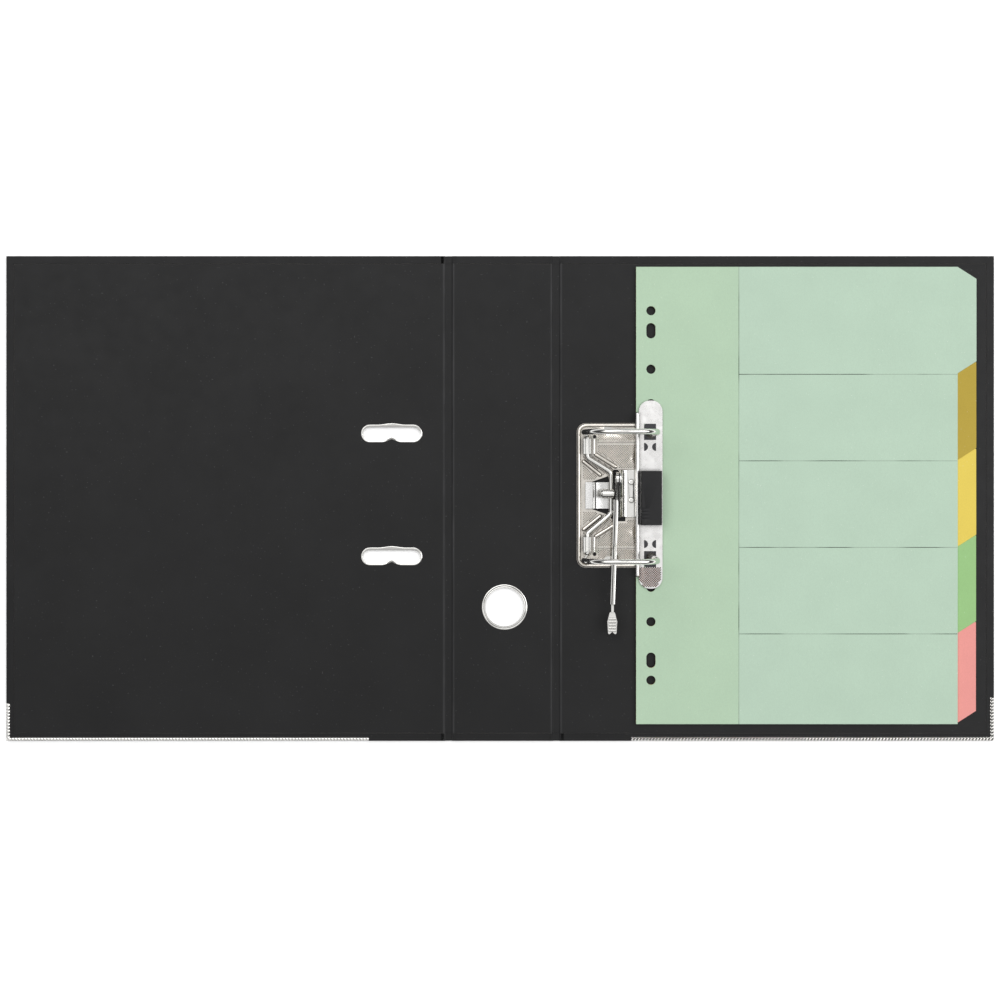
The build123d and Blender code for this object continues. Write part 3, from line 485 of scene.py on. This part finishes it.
def hinge_strip(name, hinge_x, spans, lift, thickness, material):
    """Soft channel over a hinge line, in one or more spans along it."""
    places = steps(hinge_x - GROOVE_REACH, hinge_x + GROOVE_REACH, 0.2)
    upper = [(x, groove_height(abs(x - hinge_x)) + lift) for x in places]
    lower = [(x, z - thickness) for x, z in reversed(upper)]
    points, faces = [], []
    for y0, y1 in spans:
        base = len(points)
        points += [(x, y, z) for y in (y0, y1) for x, z in upper + lower]
        faces += [tuple(base + corner for corner in face) for face in loft_faces(2, len(upper + lower))]
    return from_points(name, points, faces, material)


def hinge(name, hinge_x, near_spine, far):
    """Lining, folded-in covering and outer film of one hinge, bent between its two bodies."""
    inner_y = COVER_EDGE_Y - TURN_IN - SEAM
    lining = hinge_strip(name + "_hinge_lining", hinge_x, [(-inner_y, inner_y)], 0, LINER, BENT_LINING)
    ends = [(-COVER_EDGE_Y, -inner_y - SEAM), (inner_y + SEAM, COVER_EDGE_Y)]
    turn_in = hinge_strip(name + "_hinge_turn_in", hinge_x, ends, SEAM, WRAP, BENT_LINING)
    places = steps(hinge_x - FILM_HALF, hinge_x + FILM_HALF, 0.1)
    section = [(x, WRAP) for x in places] + [(x, 0.0) for x in reversed(places)]
    ends_of_film = [[(x, y, z) for x, z in section] for y in (-COVER_EDGE_Y, COVER_EDGE_Y)]
    film = loft(name + "_hinge_film", ends_of_film, BENT_LINING)
    side = 1 if far == "back_cover" else -1
    pieces = (
        (lining, HINGE_BEND, "inner_lining"),
        (turn_in, HINGE_BEND, "cover_film"),
        (film, FILM_HALF, "cover_film"),
    )
    for piece, reach, slot in pieces:
        keep_rest_place(piece)
        start = (hinge_x + side * reach) * MM
        end = (hinge_x - side * reach) * MM
        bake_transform(piece, far, near_spine, start=(start, 0, 0), end=(end, 0, 0))


def flat_lining(name, node, body, low_x, high_x):
    """Lining of one panel without its groove walls, which the hinge strips stand for."""
    shape = cad_copy(node)
    if low_x is not None:
        cut(shape, 0, [low_x], clear_inner=True)
    if high_x is not None:
        cut(shape, 0, [high_x], clear_outer=True)
    piece = from_bmesh(name, shape, LINING)
    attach(piece, body)
    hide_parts(node)


def linings():
    reach = HINGE_X + GROOVE_REACH
    inner = HINGE_X - GROOVE_REACH
    flat_lining("back_lining", "back_liner", "back_cover", reach, None)
    flat_lining("front_lining", "front_liner", "front_cover", None, -reach)
    flat_lining("spine_lining", "spine_liner", "spine", -inner, inner)
    hinge("back", HINGE_X, "spine", "back_cover")
    hinge("front", -HINGE_X, "spine", "front_cover")


# --- metal shoes ---------------------------------------------------------------------------------------
def shoe_section(along, rib_height):
    """Closed section of the channel: distance in from the cover's edge, height, and painted shade."""
    def valley(inset):
        return 1 - abs(sin(pi * (along + 0.75 * inset) / RIB_PITCH))
    top = INNER_FACE + SHOE_STANDS
    outside = [(4.0, 0.0), (0.5, 0.0), (0.12, 0.15), (0.0, 0.6), (0.0, 2.0)]
    crest = [(0.05, 2.6, 0.4), (0.25, top - 0.25, 0.8), (0.7, top, 1.0)]
    crest += [(1.3, top, 1.0), (1.9, top - 0.1, 1.0)]
    ribbed = []
    for inset, height, share in crest:
        # painted shade in the valleys between the ribs, deeper for higher ribs
        painted_shade = min(1.0, 2.2 * rib_height * valley(inset) ** 2)
        ribbed.append((inset, height - share * rib_height * valley(inset), painted_shade))
    inside = [(2.4, INNER_FACE + 0.12), (0.32, INNER_FACE + 0.12), (0.32, 0.31), (4.0, 0.31)]
    return [(*point, 0.0) for point in outside] + ribbed + [(*point, 0.0) for point in inside]


def metal_shoe(name, node, body, side):
    """Crimped shoe on the bottom edge and up the fore edge of one cover."""
    low, high = corners(node)
    edge_x = high.x if side > 0 else low.x
    length, rise = high.x - low.x, high.y - low.y
    height = RIB_HEIGHT[body]
    points, faces, painted_shade = [], [], []
    for reach, upright in ((length, False), (rise, True)):
        base = len(points)
        stations = steps(STEP, reach, RIB_PITCH / 8)
        for along in stations:
            section = shoe_section(along, height)
            for inset, z, amount in section:
                in_x, in_y = (inset, along) if upright else (along, inset)
                points.append((edge_x - side * in_x, low.y + in_y, z + CORNER_LIFT * upright))
                painted_shade.append(amount)
        faces += [tuple(base + c for c in face) for face in loft_faces(len(stations), len(section))]
    piece = keep_painted_shade(from_points(name, points, faces, NICKEL), painted_shade)
    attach(piece, body)
    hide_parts(node)


# --- eyelets ----------------------------------------------------------------------------------------------
def around_slot(length, width):
    """Points and outward directions round a slot with round ends."""
    radius, straight = width / 2, (length - width) / 2
    path = [((x, radius), (0, 1)) for x in steps(straight, -straight, STEP)]
    turns = steps(0, pi, pi / 20)
    path += [((-straight - radius * sin(t), radius * cos(t)), (-sin(t), cos(t))) for t in turns[1:]]
    path += [((x, -radius), (0, -1)) for x in steps(-straight, straight, STEP)[1:]]
    path += [((straight + radius * sin(t), -radius * cos(t)), (sin(t), -cos(t))) for t in turns[1:-1]]
    return path


def rolled_rim(name, centre, path, section, material):
    """Rim along a path: section(x, outward) gives an offset, a height and painted shade for each point."""
    rings, painted_shade = [], []
    for (x, y), (out_x, out_y) in path:
        places = section(x, out_y)
        rings.append([(centre[0] + x + out_x * u, centre[1] + y + out_y * u, z) for u, z, amount in places])
        painted_shade += [amount for u, z, amount in places]
    return keep_painted_shade(loft(name, rings, material, closed_path=True), painted_shade)


def notch(x):
    """Depth of the kink in a slot rim's lower side at a distance from its middle."""
    return NOTCH_DEPTH * max(0.0, 1 - abs(x) / NOTCH_REACH) ** 1.3


def slot_section(x, out_y):
    """Rolled rim with a low crown above the slot and a kink that reaches into it from below."""
    crown = CROWN * ease(1 - abs(x) / CROWN_REACH) if out_y > 0.99 else 0.0
    inward = notch(x) if out_y < -0.99 else UPPER_INWARD * max(0.0, out_y) ** 2
    top = INNER_FACE + RIM_STANDS
    edge = RIM_WIDTH + crown - (inward if out_y < 0 else 0.0)
    droop = 0.5 * inward / NOTCH_DEPTH if out_y < 0 else 0.0
    # painted shade: the rim's upper side, its foot and the drooping kink are darkened
    dark = max(0.0, out_y) + 1.6 * droop
    outer = [(edge, INNER_FACE + 0.02, 0.4), (edge - 0.05, INNER_FACE + 0.4, 0.0)]
    outer += [(edge - 0.35, top - 0.06, dark * 0.1), (edge - 0.6, top, dark * 0.3)]
    inner = [(0.3 - inward, top - 0.08 - droop, dark * 0.35)]
    inner += [(0.05 - inward, top - 0.15 - droop, dark * 0.9), (-inward, INNER_FACE, dark * 0.9)]
    tube = [(0.0, INNER_FACE - 0.05, 0), (0.0, 0.0, 0), (0.5, 0.0, 0), (0.5, INNER_FACE + 0.01, 0)]
    return outer + inner + tube


def slot_eyelet(node):
    """Rolled rim of one slot, and the lining that fills the kink outside it."""
    low, high = corners(node)
    centre = ((low.x + high.x) / 2, (low.y + high.y - CROWN) / 2)
    path = around_slot(SLOT_LENGTH, SLOT_WIDTH)
    piece = rolled_rim(node + "_rolled", centre, path, slot_section, NICKEL)
    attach(piece, "front_cover")
    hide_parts(node)
    outer_y = -SLOT_WIDTH / 2 - 0.7
    bottom, top = INNER_FACE - 0.2, INNER_FACE + 0.06
    rings = []
    for x in steps(-NOTCH_REACH, NOTCH_REACH, STEP):
        inner_y = max(notch(x) - SLOT_WIDTH / 2 - 0.9, outer_y + 0.05)
        section = [(outer_y, bottom), (inner_y, bottom), (inner_y, top), (outer_y, top)]
        rings.append([(centre[0] + x, centre[1] + y, z) for y, z in section])
    tongue = loft(node + "_tongue", rings, LINING)
    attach(tongue, "front_cover")


def circle_path(radius):
    """Points and outward directions round a circle."""
    turns = steps(0, 2 * pi, pi / 60)[:-1]
    return [((radius * cos(t), radius * sin(t)), (cos(t), sin(t))) for t in turns]


def finger_eyelet():
    """Ring curled over its washer on the lined side, with a flange flush in the outer face."""
    centre = ((RING_LOW.x + RING_HIGH.x) / 2, (RING_LOW.y + RING_HIGH.y) / 2)
    flange = (RING_HIGH.x - RING_LOW.x) / 2
    bore = flange - RING_WIDTH
    top = RING_HIGH.z
    # The third number of each point is painted shade: darkest under the curl, inside the bore and in the
    # valley between curl and washer.
    ring = [(0, 0.12, 0), (0.12, 0, 0), (2.2, 0, 0), (RING_WIDTH, 0.12, 0)]
    ring += [(RING_WIDTH, WRAP, 0), (0.5, WRAP, 0)]
    ring += [(0.5, INNER_FACE + 0.3, 0), (1.0, top - 0.28, 1), (1.05, top - 0.12, 0.8)]
    ring += [(0.7, top + 0.04, 0), (0.35, top, 0), (0.15, top - 0.2, 0.3), (0, top - 0.5, 0.9)]
    ring.append((0, top - 1.0, 0.3))
    lip = INNER_FACE + 0.25
    washer = [(0.55, INNER_FACE + 0.01, 1), (RING_WIDTH, INNER_FACE + 0.01, 0.3)]
    washer += [(RING_WIDTH, INNER_FACE + 0.2, 0)]
    washer += [(2.1, INNER_FACE + 0.42, 0), (1.7, INNER_FACE + 0.54, 0), (1.25, INNER_FACE + 0.45, 0.6)]
    washer += [(1.0, lip, 1), (0.55, lip, 1)]
    pieces = (("finger_ring_curled", "finger_ring", ring), ("finger_washer", "finger_ring_washer", washer))
    for name, node, section in pieces:
        def same_all_round(x, out_y, section=section):
            return section
        piece = rolled_rim(name, centre, circle_path(bore), same_all_round, NICKEL)
        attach(piece, "spine")
        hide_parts(node)


# --- embossing of the base plate ------------------------------------------------------------------------
def distance_to_line(x, y, start, end):
    """Distance of a point from the line between two ends."""
    span_x, span_y = end[0] - start[0], end[1] - start[1]
    share = ((x - start[0]) * span_x + (y - start[1]) * span_y) / (span_x ** 2 + span_y ** 2)
    share = min(1.0, max(0.0, share))
    return hypot(x - start[0] - share * span_x, y - start[1] - share * span_y)


# Parts of the deck that carry no studs, with Y measured from the mechanism's middle.
BEAD_WIDTH = 4  # raised edge of the plate
RIDGES, RIDGE_REACH = (((61.0, 26.5), (73.5, 18.8)), ((53.0, 22.0), (63.5, 13.5))), 2.1
RIVETS, RIVET_REACH = ((68.7, 42.6), (91.0, 26.0)), 3.6
PRESSED_LINE_Y, PRESSED_LINE_REACH = 34.4, 1.3
LUG_SPAN, LUG_END_X = (25.5, 40.5), 62.5
BRACKET_SPAN = (-16, 18)
SPRING_HALF = 10.5
WINDOW_X, WINDOW_HALF = (57, 81), 17.8


def in_window(x, far):
    """True over the opening under the crank, which widens towards the posts."""
    half = 10 + 0.45 * (x - 58.5) if x < 74 else WINDOW_HALF
    return WINDOW_X[0] < x < WINDOW_X[1] and far < half


def is_open_deck(x, y):
    """True where the plate's deck is plain, y measured from the mechanism's middle."""
    far = abs(y)
    if x < PLATE_LOW.x + BEAD_WIDTH or x > PLATE_HIGH.x - 1:
        return False
    if far > PLATE_HIGH.y - MECH_Y - BEAD_WIDTH:
        return False
    if x < SPRING_END_X and far < SPRING_HALF:
        return False
    if in_window(x, far):
        return False
    if BRACKET_LOW.x - 1 < x < BRACKET_HIGH.x + 1 and BRACKET_SPAN[0] < y < BRACKET_SPAN[1]:
        return False
    if x < LUG_END_X and LUG_SPAN[0] < far < LUG_SPAN[1]:
        return False
    if abs(far - PRESSED_LINE_Y) < PRESSED_LINE_REACH:
        return False
    if any(hypot(x - rivet_x, far - rivet_y) < RIVET_REACH for rivet_x, rivet_y in RIVETS):
        return False
    return all(distance_to_line(x, far, start, end) > RIDGE_REACH for start, end in RIDGES)


def diamond_studs(name, places, base_z, size, height, material):
    """Low pointed studs with four sides, corners along X and Y."""
    points, faces = [], []
    for x, y in places:
        base = len(points)
        corners_of_base = ((x + size, y), (x, y + size), (x - size, y), (x, y - size))
        points += [(*corner, base_z) for corner in corners_of_base]
        points.append((x, y, base_z + height))
        faces += [(base + side, base + (side + 1) % 4, base + 4) for side in range(4)]
        faces.append((base, base + 1, base + 2, base + 3))
    return from_points(name, points, faces, material)


def staggered(x0, x1, y0, y1, pitch):
    """Rows half a pitch apart, every second row shifted by half a pitch."""
    rows = int((y1 - y0) / (pitch / 2))
    for row in range(rows + 1):
        offset = pitch / 2 if row % 2 else 0
        for column in range(int((x1 - x0) / pitch) + 1):
            yield x0 + offset + column * pitch, y0 + row * pitch / 2


def plate_embossing():
    grid = staggered(PLATE_LOW.x, PLATE_HIGH.x, PLATE_LOW.y, PLATE_HIGH.y, STUD_PITCH)
    places = [(x, y) for x, y in grid if is_open_deck(x, y - MECH_Y)]
    foot = DECK - STUD_SUNK
    piece = diamond_studs("plate_embossing", places, foot, STUD_REACH, STUD_HEIGHT, PLATE_NICKEL)
    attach(piece, "back_cover")


def bar_knurl():
    """Diamond knurl on the lower end of the compressor bar."""
    x0, x1 = (BAR_HIGH.x - inset for inset in KNURL_X)
    y0 = BAR_LOW.y
    grid = staggered(x0, x1, y0 + KNURL_Y[0], y0 + KNURL_Y[1], STUD_PITCH)
    centre = (x0 + x1) / 2
    places = [(x, y) for x, y in grid
              if x < x1 and abs(x - centre) < KNURL_HALF + KNURL_SPREAD * (y - y0)]
    foot = BAR_TOP - STUD_SUNK
    piece = diamond_studs("bar_knurl", places, foot, KNURL_REACH, STUD_HEIGHT, KNURL_NICKEL)
    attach(piece, "compressor")


def lever_arm_groove():
    """Pressed top of the lever's arm: two flat edges with a groove between them."""
    # The third number of each point is painted shade, darkest in the groove and on the sloping edges.
    section = ((-1.45, 0.0, 0.3), (-1.4, 0.3, 0.2), (-0.85, 0.4, 0.2), (-0.35, 0.1, 0.9), (0.1, 0.4, 0.0),
               (1.0, 0.45, 0.0), (1.4, 0.3, 0.4), (1.45, 0.0, 0.6))
    rings = [[(x + across, MECH_Y + y, z + up) for across, up, amount in section]
             for y, x, z in ARM_STATIONS]
    piece = loft("lever_arm_groove", rings, NICKEL)
    keep_painted_shade(piece, [amount for station in ARM_STATIONS for across, up, amount in section])
    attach(piece, "lever")


# --- dividers --------------------------------------------------------------------------------------------
def paper_lift(x, y):
    """Gentle wave of the card away from the posts, the same for the whole pile."""
    away = ease((x - BEND_END) / 60)
    wave = noise.noise(Vector((x / 90, y / 110, 0.3))) + 0.5 * noise.noise(Vector((x / 45, y / 60, 4.1)))
    return PAPER_WAVE * away * max(0.0, 0.45 + wave)


def divider(number):
    """One sheet from bound edge to tab, bent between the cover and its leaf."""
    names = (f"divider_{number}_bound_edge", f"divider_{number}_leaf")
    shape = cad_copy(*names)
    for vertex in shape.verts:
        if abs(vertex.co.x / MM - SLIT_X) < 0.3:
            vertex.co.x = SLIT_X * MM
    bmesh.ops.remove_doubles(shape, verts=shape.verts[:], dist=0.01 * MM)
    at_slit = [face for face in shape.faces if all(abs(v.co.x / MM - SLIT_X) < 0.01 for v in face.verts)]
    bmesh.ops.delete(shape, geom=at_slit, context="FACES")
    bmesh.ops.dissolve_limit(shape, angle_limit=radians(1), verts=shape.verts[:], edges=shape.edges[:])
    cuts_beyond = steps(BEND_END + 6, LEAF_HIGH.x - 3, WIDE_CUT)
    cut(shape, 0, steps(BEND_START, BEND_END, FINE_CUT) + cuts_beyond)
    cut(shape, 1, steps(LEAF_LOW.y + 4, LEAF_HIGH.y - 4, LONG_CUT))
    for vertex in shape.verts:
        vertex.co.z += paper_lift(vertex.co.x / MM, vertex.co.y / MM) * MM
    piece = from_bmesh(f"divider_{number}_sheet", shape, CARDS[number - 1])
    keep_rest_place(piece)
    bend_start, bend_end = (BEND_START * MM, 0, 0), (BEND_END * MM, 0, 0)
    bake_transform(piece, "back_cover", f"leaf_{number}", start=bend_start, end=bend_end)
    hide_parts(*names)


# --- CAD nodes that stay ------------------------------------------------------------------------------
def soften(node, width, material, segments=2):
    """New finish and slightly rounded edges for a CAD node that stays as it is."""
    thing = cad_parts[node]
    thing.data.materials.clear()
    thing.data.materials.append(material)
    smooth_by_angle(thing.data)
    weld = thing.modifiers.new("weld", "WELD")
    weld.merge_threshold = 0.002 * MM
    if width:
        bevel = thing.modifiers.new("rounded_edges", "BEVEL")
        bevel.width = width * MM
        bevel.segments = segments
        bevel.limit_method = "ANGLE"
        bevel.angle_limit = radians(40)
        bevel.harden_normals = True


def finish_cad_nodes():
    softened = {
        FILM: (("back_wrap", 0.12), ("front_wrap", 0.12), ("spine_wrap", 0.12)),
        greyboard(): (("back_board", 0), ("front_board", 0), ("spine_board", 0)),
        label_paper(): (("spine_label", 0),),
        PLATE_NICKEL: (("base_plate", 0.15),),
        NICKEL: (
            ("plate_rivets", 0.1), ("upper_post", 0), ("lower_post", 0), ("lever_bracket", 0.25),
            ("bracket_rivets", 0), ("lever_pivot_pin", 0), ("upper_slot_washer", 0),
            ("lower_slot_washer", 0), ("arch_wire", 0), ("lever", 0.35), ("roller_pin", 0), ("roller", 0),
        ),
        BAR_NICKEL: (("compressor_bar", 0.25),),
        STEEL: (("lift_spring", 0.12), ("handle_hinge_pin", 0)),
        BLUED_STEEL: (("locking_strip", 0.1),),
        PLASTIC: (("compressor_handle", 0.35),),
    }
    for material, nodes in softened.items():
        for node, width in nodes:
            soften(node, width, material)


# --- room, light and camera ---------------------------------------------------------------------------
def studio_floor():
    finish = Finish("studio_floor_white")
    clouds = finish.noise(900, 2)
    finish.set(Base_Color=finish.blend(clouds, (0.93, 0.93, 0.93, 1), (0.95, 0.95, 0.95, 1)), Roughness=0.9)
    finish.set(Emission_Color=(1, 1, 1, 1), Emission_Strength=0.25)
    size = 4000
    corners_of_floor = [(-size, -size, 0), (size, -size, 0), (size, size, 0), (-size, size, 0)]
    floor = from_points("studio_floor", corners_of_floor, [(0, 1, 2, 3)], finish.material)
    floor.location.z = -0.05 * MM


def studio_world():
    """Bright ceiling with a brighter ring and a dark band below it, stronger towards +Y."""
    world = bpy.data.worlds.new("light_tent")
    world.use_nodes = True
    tree = world.node_tree
    background = tree.nodes["Background"]
    bpy.context.scene.world = world
    direction = tree.nodes.new("ShaderNodeTexCoord")
    axes = tree.nodes.new("ShaderNodeSeparateXYZ")
    tree.links.new(direction.outputs["Generated"], axes.inputs["Vector"])
    ramp = tree.nodes.new("ShaderNodeValToRGB")
    bands = (
        (0.0, 0.35), (0.15, 0.08), (0.52, 0.05), (0.63, 0.45),
        (0.73, 1.1), (0.86, 0.70), (0.94, 0.78), (1.0, 0.76),
    )
    elements = ramp.color_ramp.elements
    while len(elements) < len(bands):
        elements.new(0.5)
    for element, (place, level) in zip(elements, bands):
        element.position = place
        element.color = (level, level, level, 1)
    tree.links.new(axes.outputs["Z"], ramp.inputs["Fac"])
    side_level = tree.nodes.new("ShaderNodeMath")
    side_level.operation = "MULTIPLY_ADD"
    tree.links.new(axes.outputs["Y"], side_level.inputs[0])
    side_level.inputs[1].default_value = 0.45
    side_level.inputs[2].default_value = 1.0
    tent = tree.nodes.new("ShaderNodeVectorMath")
    tent.operation = "SCALE"
    tree.links.new(ramp.outputs["Color"], tent.inputs[0])
    tree.links.new(side_level.outputs["Value"], tent.inputs["Scale"])
    seen = tree.nodes.new("ShaderNodeLightPath")
    mix = tree.nodes.new("ShaderNodeMix")
    mix.data_type = "RGBA"
    tree.links.new(seen.outputs["Is Camera Ray"], mix.inputs["Factor"])
    tree.links.new(tent.outputs["Vector"], mix.inputs[COLOUR_A])
    mix.inputs[COLOUR_B].default_value = (0.98, 0.98, 0.98, 1)
    tree.links.new(mix.outputs[COLOUR_OUT], background.inputs["Color"])
    background.inputs["Strength"].default_value = 1.2


def soft_light(name, place, target, size, power):
    light = bpy.data.lights.new(name, "AREA")
    light.shape = "RECTANGLE"
    light.size, light.size_y = size
    light.energy = power
    thing = bpy.data.objects.new(name, light)
    bpy.context.scene.collection.objects.link(thing)
    thing.location = place
    thing.rotation_euler = (Vector(target) - Vector(place)).to_track_quat("-Z", "Y").to_euler()


def camera_above():
    """Camera that looks straight down; the lens is shifted, since it hangs a little off centre."""
    height = 1.1
    view_width = 0.6525
    camera = bpy.data.cameras.new("camera")
    camera.sensor_width = 36.0
    camera.lens = camera.sensor_width * height / view_width
    camera.shift_x = -0.023
    camera.shift_y = -0.025
    camera.clip_start = 0.05
    thing = bpy.data.objects.new("camera", camera)
    bpy.context.scene.collection.objects.link(thing)
    thing.location = (0.0134, 0.0153, height)
    bpy.context.scene.camera = thing


def studio():
    studio_floor()
    studio_world()
    middle = (0, 0, 0)
    soft_light("key_light", (-0.45, 0.95, 1.7), middle, size=(1.8, 1.2), power=11.5)
    soft_light("fill_light", (1.25, 0.1, 1.45), middle, size=(1.1, 1.2), power=10.5)
    camera_above()
    bpy.context.scene.view_settings.view_transform = "Standard"


# --- the whole file ------------------------------------------------------------------------------------
finish_cad_nodes()
linings()
metal_shoe("back_shoe_crimped", "back_edge_shoe", "back_cover", 1)
metal_shoe("front_shoe_crimped", "front_edge_shoe", "front_cover", -1)
slot_eyelet("upper_slot_eyelet")
slot_eyelet("lower_slot_eyelet")
finger_eyelet()
plate_embossing()
bar_knurl()
lever_arm_groove()
for number in range(1, SHEETS + 1):
    divider(number)
studio()
